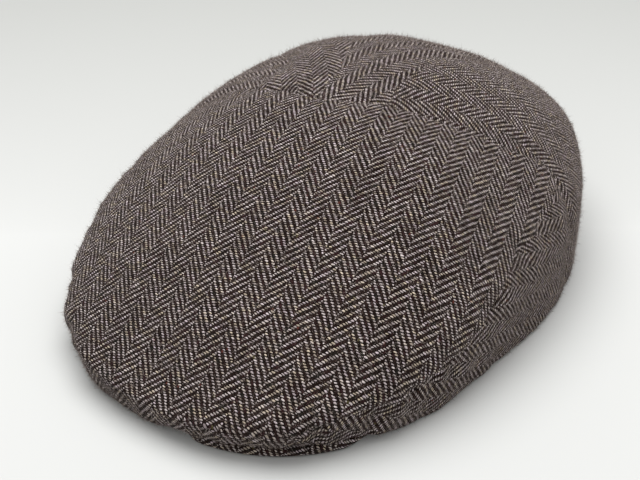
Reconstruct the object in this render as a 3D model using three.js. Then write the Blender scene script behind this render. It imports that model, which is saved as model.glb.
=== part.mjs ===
// Flat cap of herringbone tweed, resting on its rim and its peak.
// Millimetres, +Z up. The peak points to -Y and +X is the wearer's left. The origin is under the
// middle of the cap, on the surface that it rests on.
import * as THREE from 'three';

// Plan outline of the crown at its widest level, the bulge.
const HALF_WIDTH = 96.5;
const FRONT_REACH = 145.7;
const BACK_REACH = 117.4;
const FRONT_SQUARENESS = 2.55;
const BACK_SQUARENESS = 2.0;

// Height of the bulge above the surface, at the sides, the back and the front.
const SIDE_BULGE_Z = 29;
const BACK_BULGE_Z = 46;
const FRONT_BULGE_Z = 12.5;

// Fullness of the dome above the bulge: 2 is an ellipse, and more is squarer.
const SIDE_FULLNESS = 1.98;
const BACK_FULLNESS = 2.31;
const FRONT_FULLNESS = 2.63;

// The top is a shallow dome of cloth: its height falls away from a summit line.
const TOP_Z = 93.65;
const SUMMIT_Y = 10.4;
const FALL_ALONG = 0.0031;
const FALL_ACROSS = 0.0015;

// Lower edge of the crown: an oval round the head, which spreads out to the peak's edge in front.
const RIM_HALF_WIDTH = 96;
const RIM_HALF_LENGTH = 108.8;
const RIM_SQUARENESS = 2.1;
const TUCK_POWER = 1.6;
const PEAK_START_SINE = -0.35;
const PEAK_START_SHARPNESS = 14;
const CREASE_INSET = 2.6;
const CREASE_Z = 4.6;

// Peak: a crescent board covered with the same cloth. The crown is pulled a little to one side on
// it, so a strip of its edge shows only left of the front, under the crease. Past the strip's ends
// it goes in behind the panels, and then they come down round it to the surface.
// Turns are in degrees to each side of the strip's middle.
const PEAK_HALF_ANGLE = 70;
const STRIP_BEARING = -70;
const PEAK_SHOWS_TO = 11;
const PEAK_HIDES_FROM = 16;
const PANEL_UP_TO = 13;
const PANEL_DOWN_FROM = 22;
const STRIP_INSET = 2.4;
const HIDDEN_INSET = 3.6;
const PEAK_CLEARANCE = 0.1;
const PEAK_EDGE_ROUND = 2;
const HEAD_HALF_WIDTH = 86;
const HEAD_HALF_LENGTH = 97;

const CLOTH = 2.2;
const SEAM_GAP = 0.35;

// Seams, each row a bearing in degrees (0 is +X, -90 the front) and the share of the way from the
// crown's middle down to its lower edge. The crown lies a little skewed on its peak. Left and
// right are the wearer's.
const TOP_SEAM = {
  rightOuter: [[-170, 0.64], [-168, 0.57], [-162, 0.47], [-153, 0.36], [-148, 0.28]],
  rightInner: [[-148, 0.28], [-124, 0.16], [-102, 0.13]],
  leftInner: [[-102, 0.13], [-70, 0.12], [-27, 0.17]],
  leftOuter: [[-27, 0.17], [-5, 0.28], [9, 0.44], [15, 0.52], [18.5, 0.59], [18, 0.65]],
};
const SIDE_SEAM = {
  left: [
    [-66, 0.95], [-61, 0.93], [-53, 0.91], [-44, 0.88], [-34, 0.84], [-25, 0.78], [-18, 0.73],
    [-10, 0.7], [-2, 0.69], [9, 0.67], [18, 0.65],
  ],
  right: [
    [-114, 0.95], [-119, 0.93], [-127, 0.91], [-136, 0.88], [-146, 0.84], [-153, 0.79],
    [-160, 0.73], [-166, 0.68], [-170, 0.64],
  ],
};
const BACK_SEAM = {
  outerLeft: [[18, 0.65], [15.5, 0.77], [16, 1]],
  innerLeft: [[-27, 0.17], [2, 0.13], [51, 0.19], [71, 0.35], [77, 0.66], [78, 1]],
  middle: [[-102, 0.13], [176, 0.06], [134, 0.14], [117, 0.5], [112, 1]],
  innerRight: [[-148, 0.28], [-163, 0.27], [179, 0.27], [164, 0.32], [152, 0.55], [146, 1]],
  outerRight: [[-170, 0.64], [-173, 0.75], [-176, 1]],
};

// Number of facets along each run of seam and down each panel.
const TOP_STEPS = { rightOuter: 12, rightInner: 5, leftInner: 5, leftOuter: 12 };
const SIDE_STEPS = 26;
const SIDE_DEPTH_STEPS = 8;
const BACK_DEPTH_STEPS = SIDE_DEPTH_STEPS + TOP_STEPS.leftOuter;
const OUTER_PANEL_STEPS = 10;
const TIP_STEPS = 1;
const POINT_CUT = 0.2;
const TIP_BEARING = { left: -66, right: -114 };
const MERIDIAN_STEPS = 160;
const PEAK_STEPS = 70;

const radians = THREE.MathUtils.degToRad;
const mix = THREE.MathUtils.lerp;

// A rounded oval in plan: the distance from its middle to its edge along a bearing.
function ovalRadius(angle, halfWidth, halfLength, squareness) {
  const across = Math.abs(Math.cos(angle)) / halfWidth;
  const along = Math.abs(Math.sin(angle)) / halfLength;
  return (across ** squareness + along ** squareness) ** (-1 / squareness);
}

function bulgeRadius(angle) {
  return Math.sin(angle) < 0
    ? ovalRadius(angle, HALF_WIDTH, FRONT_REACH, FRONT_SQUARENESS)
    : ovalRadius(angle, HALF_WIDTH, BACK_REACH, BACK_SQUARENESS);
}

// A value given at the sides, the back and the front, blended round the cap.
function around(angle, side, back, front) {
  const lobe = Math.sin(angle) ** 2;
  return mix(side, Math.sin(angle) < 0 ? front : back, lobe);
}

// 0 round the head opening and 1 where the crown's lower edge spreads over the peak.
function overPeak(angle) {
  return 1 / (1 + Math.exp((Math.sin(angle) - PEAK_START_SINE) * PEAK_START_SHARPNESS));
}

function edgeRadius(angle) {
  const head = ovalRadius(angle, RIM_HALF_WIDTH, RIM_HALF_LENGTH, RIM_SQUARENESS);
  return mix(head, bulgeRadius(angle) - CREASE_INSET, overPeak(angle));
}

function turnFromStrip(angle) {
  return THREE.MathUtils.radToDeg(Math.acos(Math.cos(angle - radians(STRIP_BEARING))));
}

function edgeHeight(angle) {
  const down = THREE.MathUtils.smoothstep(turnFromStrip(angle), PANEL_UP_TO, PANEL_DOWN_FROM);
  return CREASE_Z * (1 - down);
}

function topHeight(x, y) {
  return TOP_Z - FALL_ALONG * (y - SUMMIT_Y) ** 2 - FALL_ACROSS * x ** 2;
}

// One meridian of the crown, from its middle over the bulge to its lower edge, as rows of
// radius, height and length so far.
function meridian(angle) {
  const radius = bulgeRadius(angle);
  const bulge = around(angle, SIDE_BULGE_Z, BACK_BULGE_Z, FRONT_BULGE_Z);
  const power = 2 / around(angle, SIDE_FULLNESS, BACK_FULLNESS, FRONT_FULLNESS);
  const rows = [];
  for (let i = 0; i <= MERIDIAN_STEPS; i++) {
    const turn = ((i / MERIDIAN_STEPS) * Math.PI) / 2;
    const r = radius * Math.sin(turn) ** power;
    const top = topHeight(r * Math.cos(angle), r * Math.sin(angle));
    rows.push([r, bulge + (top - bulge) * Math.abs(Math.cos(turn)) ** power]);
  }
  const under = MERIDIAN_STEPS / 4;
  for (let i = 1; i <= under; i++) {
    const down = i / under;
    rows.push([
      mix(radius, edgeRadius(angle), down ** TUCK_POWER),
      mix(bulge, edgeHeight(angle), down),
    ]);
  }
  let length = 0;
  return rows.map(([r, z], i) => {
    if (i) length += Math.hypot(r - rows[i - 1][0], z - rows[i - 1][1]);
    return [r, z, length];
  });
}

// The point of the crown at a bearing and a share of the way down its meridian.
function crownPoint(angle, share) {
  const rows = meridian(angle);
  const wanted = THREE.MathUtils.clamp(share, 0, 1) * rows[rows.length - 1][2];
  let i = 1;
  while (i < rows.length - 1 && rows[i][2] < wanted) i++;
  const [r0, z0, s0] = rows[i - 1];
  const [r1, z1, s1] = rows[i];
  const part = (wanted - s0) / (s1 - s0);
  const r = mix(r0, r1, part);
  return new THREE.Vector3(r * Math.cos(angle), r * Math.sin(angle), mix(z0, z1, part));
}

// The map is a flat drawing of the crown: bearing as it is, and the share as the radius.
function onCrown(mapPoint) {
  return crownPoint(Math.atan2(mapPoint.y, mapPoint.x), mapPoint.length());
}

function crownNormal(mapPoint) {
  const step = 0.004;
  const inner = mapPoint.clone().multiplyScalar(Math.min(1, (1 - step) / mapPoint.length()));
  const [east, west, north, south] = [[step, 0], [-step, 0], [0, step], [0, -step]].map(
    ([dx, dy]) => onCrown(new THREE.Vector2(inner.x + dx, inner.y + dy)),
  );
  return east.sub(west).cross(north.sub(south)).normalize();
}

function toMap([bearing, share]) {
  const angle = radians(bearing);
  return new THREE.Vector3(share * Math.cos(angle), share * Math.sin(angle), 0);
}

function samples(rows, steps) {
  const curve = new THREE.CatmullRomCurve3(rows.map(toMap), false, 'catmullrom', 0.5);
  return Array.from({ length: steps + 1 }, (_, i) => {
    const p = curve.getPointAt(i / steps);
    return new THREE.Vector2(p.x, p.y);
  });
}

// A stretch of the crown's lower edge between two bearings.
function lowerEdge(from, to, steps) {
  return Array.from({ length: steps + 1 }, (_, i) => {
    const p = toMap([mix(from, to, i / steps), 1]);
    return new THREE.Vector2(p.x, p.y);
  });
}

function joined(...runs) {
  return runs.flatMap((run, i) => (i ? run.slice(1) : run));
}

// A net of map points between four boundary runs, by the usual sum of the two rulings.
function net(bottom, top, left, right) {
  const across = bottom.length - 1;
  const down = left.length - 1;
  return left.map((leftPoint, j) =>
    bottom.map((bottomPoint, i) => {
      const u = i / across;
      const v = j / down;
      const lowCorners = bottom[0].clone().lerp(bottom[across], u);
      const highCorners = top[0].clone().lerp(top[across], u);
      return bottomPoint
        .clone()
        .lerp(top[i], v)
        .add(leftPoint.clone().lerp(right[j], u))
        .sub(lowCorners.lerp(highCorners, v));
    }),
  );
}

// Moves a net's border in by half of the seam gap, square to each side that a point lies on.
function trimmed(points) {
  const rows = points.length - 1;
  const columns = points[0].length - 1;
  const at = (j, i) =>
    points[THREE.MathUtils.clamp(j, 0, rows)][THREE.MathUtils.clamp(i, 0, columns)];
  const inward = (point, along, inner) => {
    const square = new THREE.Vector2(-along.y, along.x).normalize().multiplyScalar(0.002);
    if (square.dot(inner.clone().sub(point)) < 0) square.negate();
    const moved = onCrown(point.clone().add(square)).distanceTo(onCrown(point));
    return square.multiplyScalar(SEAM_GAP / 2 / Math.max(moved, 0.05));
  };
  return points.map((row, j) =>
    row.map((point, i) => {
      const shift = new THREE.Vector2();
      const inner = at(
        THREE.MathUtils.clamp(j, 1, rows - 1),
        THREE.MathUtils.clamp(i, 1, columns - 1),
      );
      const alongRow = at(j, i + 1).clone().sub(at(j, i - 1));
      const alongColumn = at(j + 1, i).clone().sub(at(j - 1, i));
      if (j === 0 || j === rows) shift.add(inward(point, alongRow, inner));
      if (i === 0 || i === columns) shift.add(inward(point, alongColumn, inner));
      return point.clone().add(shift);
    }),
  );
}

// A closed wall of cloth: the net on the crown's face, the same net one thickness inside, and
// a strip round the border.
function clothPanel(points) {
  const rows = points.length;
  const columns = points[0].length;
  const outer = points.flat().map(onCrown);
  const inner = points.flat().map((p, i) =>
    outer[i].clone().addScaledVector(crownNormal(p), -CLOTH),
  );
  const index = [];
  const quad = (a, b, c, d) => index.push(a, b, c, a, c, d);
  const at = (j, i) => j * columns + i;
  const size = rows * columns;
  for (let j = 0; j < rows - 1; j++) {
    for (let i = 0; i < columns - 1; i++) {
      const corners = [at(j, i), at(j, i + 1), at(j + 1, i + 1), at(j + 1, i)];
      quad(...corners);
      quad(...corners.map((k) => k + size).reverse());
    }
  }
  const border = [
    ...Array.from({ length: columns - 1 }, (_, i) => at(0, i)),
    ...Array.from({ length: rows - 1 }, (_, j) => at(j, columns - 1)),
    ...Array.from({ length: columns - 1 }, (_, i) => at(rows - 1, columns - 1 - i)),
    ...Array.from({ length: rows - 1 }, (_, j) => at(rows - 1 - j, 0)),
  ];
  border.forEach((a, k) => {
    const b = border[(k + 1) % border.length];
    quad(b, a, a + size, b + size);
  });
  return solidGeometry([...outer, ...inner], index);
}

function solidGeometry(vertices, index) {
  const geometry = new THREE.BufferGeometry().setFromPoints(vertices);
  geometry.setIndex(index);
  geometry.computeVertexNormals();
  return geometry;
}

function frontPanel() {
  const top = joined(...Object.keys(TOP_SEAM).map((k) => samples(TOP_SEAM[k], TOP_STEPS[k])));
  const bottom = lowerEdge(TIP_BEARING.right, TIP_BEARING.left, top.length - 1);
  const side = (rows) =>
    joined(samples([[rows[0][0], 1], rows[0]], TIP_STEPS), samples(rows, SIDE_STEPS));
  return clothPanel(trimmed(net(bottom, top, side(SIDE_SEAM.right), side(SIDE_SEAM.left))));
}

function lastBearing(seam) {
  return seam[seam.length - 1][0];
}

function upwards(seam, steps) {
  return samples([...seam].reverse(), steps);
}

// A side panel narrows forwards to a tip over the peak, and ends at the outer back seam.
function sidePanel(side, backSeam) {
  const seam = samples(SIDE_SEAM[side], SIDE_STEPS);
  const edge = lowerEdge(TIP_BEARING[side], lastBearing(backSeam), SIDE_STEPS);
  const tip = samples([[TIP_BEARING[side], 1], SIDE_SEAM[side][0]], SIDE_DEPTH_STEPS);
  const back = upwards(backSeam, SIDE_DEPTH_STEPS);
  return side === 'left'
    ? clothPanel(trimmed(net(edge, seam, tip, back)))
    : clothPanel(trimmed(net([...edge].reverse(), [...seam].reverse(), back, tip)));
}

// A back panel, from its lower edge up to the top seam. Seen from behind, its left side is the one
// nearer to the wearer's left.
function backPanel(top, leftSide, rightSide) {
  const bearing = (point) => THREE.MathUtils.radToDeg(Math.atan2(point.y, point.x));
  const to = THREE.MathUtils.euclideanModulo(bearing(rightSide[0]), 360);
  const bottom = lowerEdge(bearing(leftSide[0]), to, top.length - 1);
  return clothPanel(trimmed(net(bottom, top, leftSide, rightSide)));
}

function innerBackPanel(run, leftSeam, rightSeam) {
  const top = samples(TOP_SEAM[run], TOP_STEPS[run]).reverse();
  const left = upwards(BACK_SEAM[leftSeam], BACK_DEPTH_STEPS);
  const right = upwards(BACK_SEAM[rightSeam], BACK_DEPTH_STEPS);
  return backPanel(top, left, right);
}

// An outer back panel is a wedge: one side runs up its outer back seam and on along the top
// seam, and meets the inner back seam in a point, cut off short.
function outerBackPanel(run, outerSeam, innerSeam) {
  const isLeft = run === 'leftOuter';
  const topRun = samples(TOP_SEAM[run], TOP_STEPS[run]);
  const outer = joined(
    upwards(BACK_SEAM[outerSeam], SIDE_DEPTH_STEPS),
    isLeft ? topRun.reverse() : topRun,
  );
  const inner = upwards(BACK_SEAM[innerSeam], BACK_DEPTH_STEPS);
  for (const side of [outer, inner]) {
    const last = side.length - 1;
    side[last] = side[last].clone().lerp(side[last - 1], POINT_CUT);
  }
  const [left, right] = isLeft ? [outer, inner] : [inner, outer];
  const [from, to] = [left, right].map((side) => side[side.length - 1]);
  const top = Array.from({ length: OUTER_PANEL_STEPS + 1 }, (_, i) =>
    from.clone().lerp(to, i / OUTER_PANEL_STEPS),
  );
  return backPanel(top, left, right);
}

// The peak's section at one bearing: flat underneath, with a rounded outer edge.
function peakSection(angle) {
  const top = CREASE_Z - PEAK_CLEARANCE;
  const hidden = THREE.MathUtils.smoothstep(turnFromStrip(angle), PEAK_SHOWS_TO, PEAK_HIDES_FROM);
  const outer = mix(bulgeRadius(angle) - STRIP_INSET, edgeRadius(angle) - HIDDEN_INSET, hidden);
  const inner = ovalRadius(angle, HEAD_HALF_WIDTH, HEAD_HALF_LENGTH, RIM_SQUARENESS);
  const round = Math.min(PEAK_EDGE_ROUND, top / 2.5);
  return [
    [inner, 0],
    [outer - round, 0],
    [outer - round * 0.3, round * 0.35],
    [outer, top / 2],
    [outer - round * 0.3, top - round * 0.35],
    [outer - round, top],
    [inner, top],
  ].map(([r, z]) => new THREE.Vector3(r * Math.cos(angle), r * Math.sin(angle), z));
}

function peak() {
  const steps = PEAK_STEPS;
  const sections = Array.from({ length: steps + 1 }, (_, i) =>
    peakSection(radians(-90 + PEAK_HALF_ANGLE * ((2 * i) / steps - 1))),
  );
  const count = sections[0].length;
  const index = [];
  for (let i = 0; i < steps; i++) {
    for (let k = 0; k < count; k++) {
      const [a, b] = [i * count + k, i * count + ((k + 1) % count)];
      index.push(a, a + count, b + count, a, b + count, b);
    }
  }
  for (let k = 1; k < count - 1; k++) {
    const last = steps * count;
    index.push(0, k, k + 1, last, last + k + 1, last + k);
  }
  return solidGeometry(sections.flat(), index);
}

const cap = new THREE.Group();

function add(name, geometry) {
  const tweed = new THREE.MeshStandardMaterial({ color: 0x6a5d57, roughness: 0.95, metalness: 0 });
  const mesh = new THREE.Mesh(geometry, tweed);
  mesh.name = name;
  cap.add(mesh);
}

add('front_panel', frontPanel());
add('side_panel_left', sidePanel('left', BACK_SEAM.outerLeft));
add('side_panel_right', sidePanel('right', BACK_SEAM.outerRight));
add('back_panel_left_outer', outerBackPanel('leftOuter', 'outerLeft', 'innerLeft'));
add('back_panel_left_inner', innerBackPanel('leftInner', 'innerLeft', 'middle'));
add('back_panel_right_inner', innerBackPanel('rightInner', 'middle', 'innerRight'));
add('back_panel_right_outer', outerBackPanel('rightOuter', 'outerRight', 'innerRight'));
add('peak', peak());

// The tables above are measured from the crown's middle, and the origin is under the middle of
// the whole length.
cap.position.y = (FRONT_REACH - BACK_REACH) / 2;

export default cap;
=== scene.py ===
"""Flat cap of herringbone tweed, with a plain studio round it.

The cap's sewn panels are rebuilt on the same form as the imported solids, with fine cloth detail.
Form and cloth sizes are in millimetres, and meshes are written in metres.
"""

import math

import bpy
import numpy as np
from bpy.props import FloatProperty, FloatVectorProperty, IntProperty, PointerProperty
from bpy.types import Operator, Panel, PropertyGroup
from mathutils import Matrix, Vector, kdtree, noise


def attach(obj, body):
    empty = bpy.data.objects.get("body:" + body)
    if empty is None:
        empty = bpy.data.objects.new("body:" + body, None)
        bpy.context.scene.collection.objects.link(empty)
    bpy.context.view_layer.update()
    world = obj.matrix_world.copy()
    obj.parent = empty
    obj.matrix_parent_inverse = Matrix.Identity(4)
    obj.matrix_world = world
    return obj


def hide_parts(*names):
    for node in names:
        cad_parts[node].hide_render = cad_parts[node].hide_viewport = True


bl_info = {
    "name": "Herringbone Flat Cap",
    "version": (1, 0, 0),
    "blender": (4, 5, 0),
    "location": "3D View > Sidebar > Flat Cap",
    "description": "Builds a tweed flat cap from its sewn panels",
    "category": "Add Mesh",
}

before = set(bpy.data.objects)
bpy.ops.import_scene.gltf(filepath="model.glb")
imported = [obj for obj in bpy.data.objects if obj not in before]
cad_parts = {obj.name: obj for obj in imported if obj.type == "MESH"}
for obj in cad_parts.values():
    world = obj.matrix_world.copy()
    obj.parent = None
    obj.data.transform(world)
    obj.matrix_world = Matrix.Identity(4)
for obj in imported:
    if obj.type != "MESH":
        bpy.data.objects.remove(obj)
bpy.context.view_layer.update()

MM = 0.001

# Plan outline of the crown at its widest level, the bulge.
HALF_WIDTH = 96.5
FRONT_REACH = 145.7
BACK_REACH = 117.4
FRONT_SQUARENESS = 2.55
BACK_SQUARENESS = 2.0
# The tables are measured from the crown's middle, which lies this far behind the origin.
MIDDLE_Y = (FRONT_REACH - BACK_REACH) / 2

# Height and fullness of the dome round the cap.
SIDE_BULGE_Z = 29
BACK_BULGE_Z = 46
FRONT_BULGE_Z = 12.5
SIDE_FULLNESS = 1.98
BACK_FULLNESS = 2.31
FRONT_FULLNESS = 2.63
TOP_Z = 93.65
SUMMIT_Y = 10.4
FALL_ALONG = 0.0031
FALL_ACROSS = 0.0015

# Lower edge of the crown: an oval round the head, and over the peak a crease in from the bulge.
RIM_HALF_WIDTH = 96
RIM_HALF_LENGTH = 108.8
RIM_SQUARENESS = 2.1
TUCK_POWER = 1.6
PEAK_START_SINE = -0.35
PEAK_START_SHARPNESS = 14
CREASE_INSET = 2.6
CREASE_Z = 4.6

# Peak. A strip of its edge shows only left of the front, and turns are in degrees to each side of
# the strip's middle.
FRONT_BEARING = -90
PEAK_HALF_ANGLE = 70
STRIP_BEARING = -70
PEAK_SHOWS_TO = 11
PEAK_HIDES_FROM = 16
PANEL_UP_TO = 13
PANEL_DOWN_FROM = 22
STRIP_INSET = 2.4
HIDDEN_INSET = 3.6
PEAK_CLEARANCE = 0.1
PEAK_EDGE_ROUND = 2
PEAK_EDGE_POWER = 0.8
HEAD_HALF_WIDTH = 86
HEAD_HALF_LENGTH = 97

# Seams, each row a bearing in degrees and the share of the way down the crown.
TOP_SEAM = {
    "right_outer": [(-170, 0.64), (-168, 0.57), (-162, 0.47), (-153, 0.36), (-148, 0.28)],
    "right_inner": [(-148, 0.28), (-124, 0.16), (-102, 0.13)],
    "left_inner": [(-102, 0.13), (-70, 0.12), (-27, 0.17)],
    "left_outer": [(-27, 0.17), (-5, 0.28), (9, 0.44), (15, 0.52), (18.5, 0.59), (18, 0.65)],
}
SIDE_SEAM = {
    "left": [
        (-66, 0.95), (-61, 0.93), (-53, 0.91), (-44, 0.88), (-34, 0.84), (-25, 0.78),
        (-18, 0.73), (-10, 0.7), (-2, 0.69), (9, 0.67), (18, 0.65),
    ],
    "right": [
        (-114, 0.95), (-119, 0.93), (-127, 0.91), (-136, 0.88), (-146, 0.84), (-153, 0.79),
        (-160, 0.73), (-166, 0.68), (-170, 0.64),
    ],
}
BACK_SEAM = {
    "outer_left": [(18, 0.65), (15.5, 0.77), (16, 1)],
    "inner_left": [(-27, 0.17), (2, 0.13), (51, 0.19), (71, 0.35), (77, 0.66), (78, 1)],
    "middle": [(-102, 0.13), (176, 0.06), (134, 0.14), (117, 0.5), (112, 1)],
    "inner_right": [(-148, 0.28), (-163, 0.27), (179, 0.27), (164, 0.32), (152, 0.55), (146, 1)],
    "outer_right": [(-170, 0.64), (-173, 0.75), (-176, 1)],
}
TIP_BEARING = {"left": -66, "right": -114}

# Steps of each panel's net, all fine enough for the puckers along the seams.
TOP_RUN_STEPS = 44
SIDE_STEPS = 152
DEPTH_STEPS = 44
BACK_STEPS = 96
INNER_PANEL_STEPS = 48
TIP_STEPS = 4
# The net is laid flat by every fourth row and column, which divides each of the counts above.
FLAT_STRIDE = 4
# How much of its last step a wedge's point loses, so that it stays a narrow side of the net.
POINT_CUT = 0.5
# A short step of the chart, over which the crown's normals are measured.
NORMAL_STEP = 0.006
# The grain is read over a sixth of the net to each side of its middle.
GRAIN_READ_OVER = 6
# Turns in degrees at which a rectangle is laid round a flat panel, to find the smallest.
CUT_TURNS = range(0, 90, 3)

# Steps of curves and points along seams. Points are worked out a chunk at a time.
MERIDIAN_STEPS = 160
TUCK_STEPS = 40
SEAM_POINTS = 600
CURVE_STEPS = 24
CHUNK = 4000
PEAK_STEPS = 220
PEAK_FLAT_STEPS = 9
PEAK_EDGE_STEPS = 8

# Gathers crowd below the first of these heights, and are plain above the second.
CROWDED_BELOW_Z = 8
CROWDING_ENDS_Z = 30
GATHERS_AFTER_SEED = 7
SMOOTH_BELOW = math.radians(50)

# Rows of a fibre's strip below its tip, as shares of its length, and the least curl of a fibre.
FIBRE_ROWS = (0.0, 0.5)
LEAST_BEND = 0.1

# Bearing of the cloth's grain in plan at the panel's middle.
GRAIN = {
    "front_panel": 90,
    "side_panel_left": 90,
    "side_panel_right": 90,
    "back_panel_left_outer": 49,
    "back_panel_left_inner": 69,
    "back_panel_right_inner": 147,
    "back_panel_right_outer": 188,
}
# How blocking has drawn each panel's weave: how fine it is at the panel's middle, its turn in
# degrees, and how much finer it grows a millimetre along the grain and across it.
DRAWN_IN = {
    "front_panel": {"fine": 1.06, "turn": 0.5, "along": 0.0014, "across": -0.0014},
    "side_panel_left": {"fine": 1.13, "turn": 26, "along": 0.001, "across": -0.002},
    "side_panel_right": {"fine": 1.13, "turn": -26, "along": 0.001, "across": 0.002},
    "back_panel_left_outer": {"fine": 1.04, "turn": -20, "along": 0.0005, "across": 0.0015},
    "back_panel_left_inner": {"fine": 1.1, "turn": 1, "along": 0, "across": 0},
    "back_panel_right_inner": {"fine": 1.12, "turn": 1, "along": 0, "across": 0},
    "back_panel_right_outer": {"fine": 1.25, "turn": -3, "along": 0, "across": 0},
}

# Nets of the panels' outer faces and their normals, which the nap grows on. The front panel and
# the two side panels come first.
OUTER_FACES = []
FRONT_PANELS = 3

# The twill goes over two yarns and under two. Its step turns at each column of the herringbone.
FLOAT = 2
REPEAT = 2 * FLOAT
# Half the length of a pale bead, from the smallest to the largest, as a share of its float, and
# how much higher the largest is, as a share of a pick.
BEAD_HALF_LENGTH = (0.43, 0.59)
BEAD_HEIGHT_SPREAD = 0.1
# How round an end is along its float and across it, and its height beside a bead's.
END_ROUND_ALONG = 0.6
END_ROUND_ACROSS = 0.7
END_HEIGHT = 0.55

# Noises over the cloth, by how many of their blotches go to a millimetre.
DRIFT_FINENESS = 0.05
PATCH_FINENESS = 0.06
HEATHER_FINENESS = 0.28
LEAN_FINENESS = 0.3
WAVER_FINENESS = 0.35
SAG_FINENESS = 1.1
JOG_FINENESS = 1.2
FLUFF_FINENESS = 2.2
FINE_DETAIL = 3.0
LEAN_BY_WAVER = 1.5

# Noises that follow the yarns, by how many blotches go to an end and to a pick.
STRANDS_ACROSS = 0.9
STRANDS_ALONG = 3.1
DYE_ACROSS = 0.1
DYE_ALONG = 0.35
PICK_TONES_ACROSS = 0.11
END_TONES_ALONG = 0.07

# Layers of the yarns' noises and random values, so that no two agree.
STRANDS_LAYER = 3.0
END_TONE_LAYER = 5.0
DYE_LAYER = 7.0
FLOAT_TONE_LAYER = 9.0
FLOAT_SIZE_LAYER = 17.0
FLECK_LAYER = 21.0
FLECK_KIND_LAYER = 33.0

# How pale a bead is by its pick, by its own float and by its strands.
PALE_BY_PICK = 0.3
PALE_BY_FLOAT = 0.5
PALE_BY_STRAND = 0.45

# Ramps of a noise into a share: where it starts, how steeply it rises, or falls where that is
# below zero, and its most where that isn't one.
STRAND_RAMP = (0.3, 1)
TAN_RAMP = (0.51, 9)
ROSE_RAMP = (0.47, -9)
PLUM_RAMP = (0.56, 9, 0.8)
MOSS_RAMP = (0.42, -9, 0.6)
FLUFF_RAMP = (0.42, 1.6)
# Painted shade on the low front: a ramp that rises forward, from 33 mm in front of the origin.
FRONT_PAINTED_SHADE_RAMP = (-1 / 30, -12)

# Ranges of a factor: painted shade on an end from its edge to its top, and patches of haze and
# tone.
END_PAINTED_SHADE = (0.2, 1.1)
HAZE_PATCHES = (0.6, 1.4)
TONE_PATCHES = (0.75, 1.25)
FLECK_STRENGTH = 0.4
FLUFF_HEIGHT = 0.5

# Loose fibres: most are dark, and a root has this share of its tip's tone.
FIBRE_TONE_POWER = 1.5
ROOT_TONE = 0.6

# Paper, sizes in metres. It lies under the cap; painted shade darkens it to the table's far end.
PAPER_SIZE = 6.0
PAPER_Z = -0.0005
FAR_END = (-0.57, 0.82)
PAINTED_SHADE_POWER = 0.7
PAPER_GRAIN_FINENESS = 900.0
PAPER_GRAIN = 0.04
PAPER_GRAIN_COLOUR = (0.6, 0.6, 0.6)

# Window light, in metres.
WINDOW_PLACE = (-0.19, 0.2, 1.2)
WINDOW_AIM = (0, 0, 0.05)
WINDOW_SIZE = 1.3

# Sockets of Blender's Mix node for colours, and the Object output of Texture Coordinate.
MIX_FACTOR = 0
MIX_FIRST = 6
MIX_SECOND = 7
MIX_RESULT = 2
OBJECT_PLACE = 3


def oval_radius(angle, half_width, half_length, squareness):
    across = np.abs(np.cos(angle)) / half_width
    along = np.abs(np.sin(angle)) / half_length
    return (across**squareness + along**squareness) ** (-1 / squareness)


def bulge_radius(angle):
    """Radius of the crown at its widest level."""
    front = oval_radius(angle, HALF_WIDTH, FRONT_REACH, FRONT_SQUARENESS)
    back = oval_radius(angle, HALF_WIDTH, BACK_REACH, BACK_SQUARENESS)
    return np.where(np.sin(angle) < 0, front, back)


def around(angle, side, back, front):
    """A value that goes smoothly from the sides to the back and the front."""
    lobe = np.sin(angle) ** 2
    return side + (np.where(np.sin(angle) < 0, front, back) - side) * lobe


def over_peak(angle):
    """A share that is near one over the peak and near nothing round the head."""
    return 1 / (1 + np.exp((np.sin(angle) - PEAK_START_SINE) * PEAK_START_SHARPNESS))


def edge_radius(angle):
    """Radius of the crown's lower edge."""
    head = oval_radius(angle, RIM_HALF_WIDTH, RIM_HALF_LENGTH, RIM_SQUARENESS)
    return head + (bulge_radius(angle) - CREASE_INSET - head) * over_peak(angle)


def smoothstep(value, start, end):
    share = np.clip((value - start) / (end - start), 0, 1)
    return share * share * (3 - 2 * share)


def turn_from_strip(angle):
    return np.degrees(np.arccos(np.cos(angle - math.radians(STRIP_BEARING))))


def edge_height(angle):
    """Height of the crown's lower edge, which is up on the peak where its strip shows."""
    down = smoothstep(turn_from_strip(angle), PANEL_UP_TO, PANEL_DOWN_FROM)
    return CREASE_Z * (1 - down)


def top_height(x, y):
    return TOP_Z - FALL_ALONG * (y - SUMMIT_Y) ** 2 - FALL_ACROSS * x**2


def meridians(angle):
    """Radius, height and length so far of the crown's meridians, one row for each bearing."""
    angle = angle[:, None]
    radius = bulge_radius(angle)
    bulge = around(angle, SIDE_BULGE_Z, BACK_BULGE_Z, FRONT_BULGE_Z)
    power = 2 / around(angle, SIDE_FULLNESS, BACK_FULLNESS, FRONT_FULLNESS)
    turn = np.linspace(0, math.pi / 2, MERIDIAN_STEPS + 1)[None, :]
    upper_r = radius * np.sin(turn) ** power
    top = top_height(upper_r * np.cos(angle), upper_r * np.sin(angle))
    upper_z = bulge + (top - bulge) * np.abs(np.cos(turn)) ** power
    down = np.linspace(0, 1, TUCK_STEPS + 1)[None, 1:]
    lower_r = radius + (edge_radius(angle) - radius) * down**TUCK_POWER
    lower_z = bulge + (edge_height(angle) - bulge) * down
    r = np.hstack([upper_r, lower_r])
    z = np.hstack([upper_z, lower_z])
    steps = np.hypot(np.diff(r, axis=1), np.diff(z, axis=1))
    length = np.hstack([np.zeros((len(r), 1)), np.cumsum(steps, axis=1)])
    return r, z, length


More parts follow.
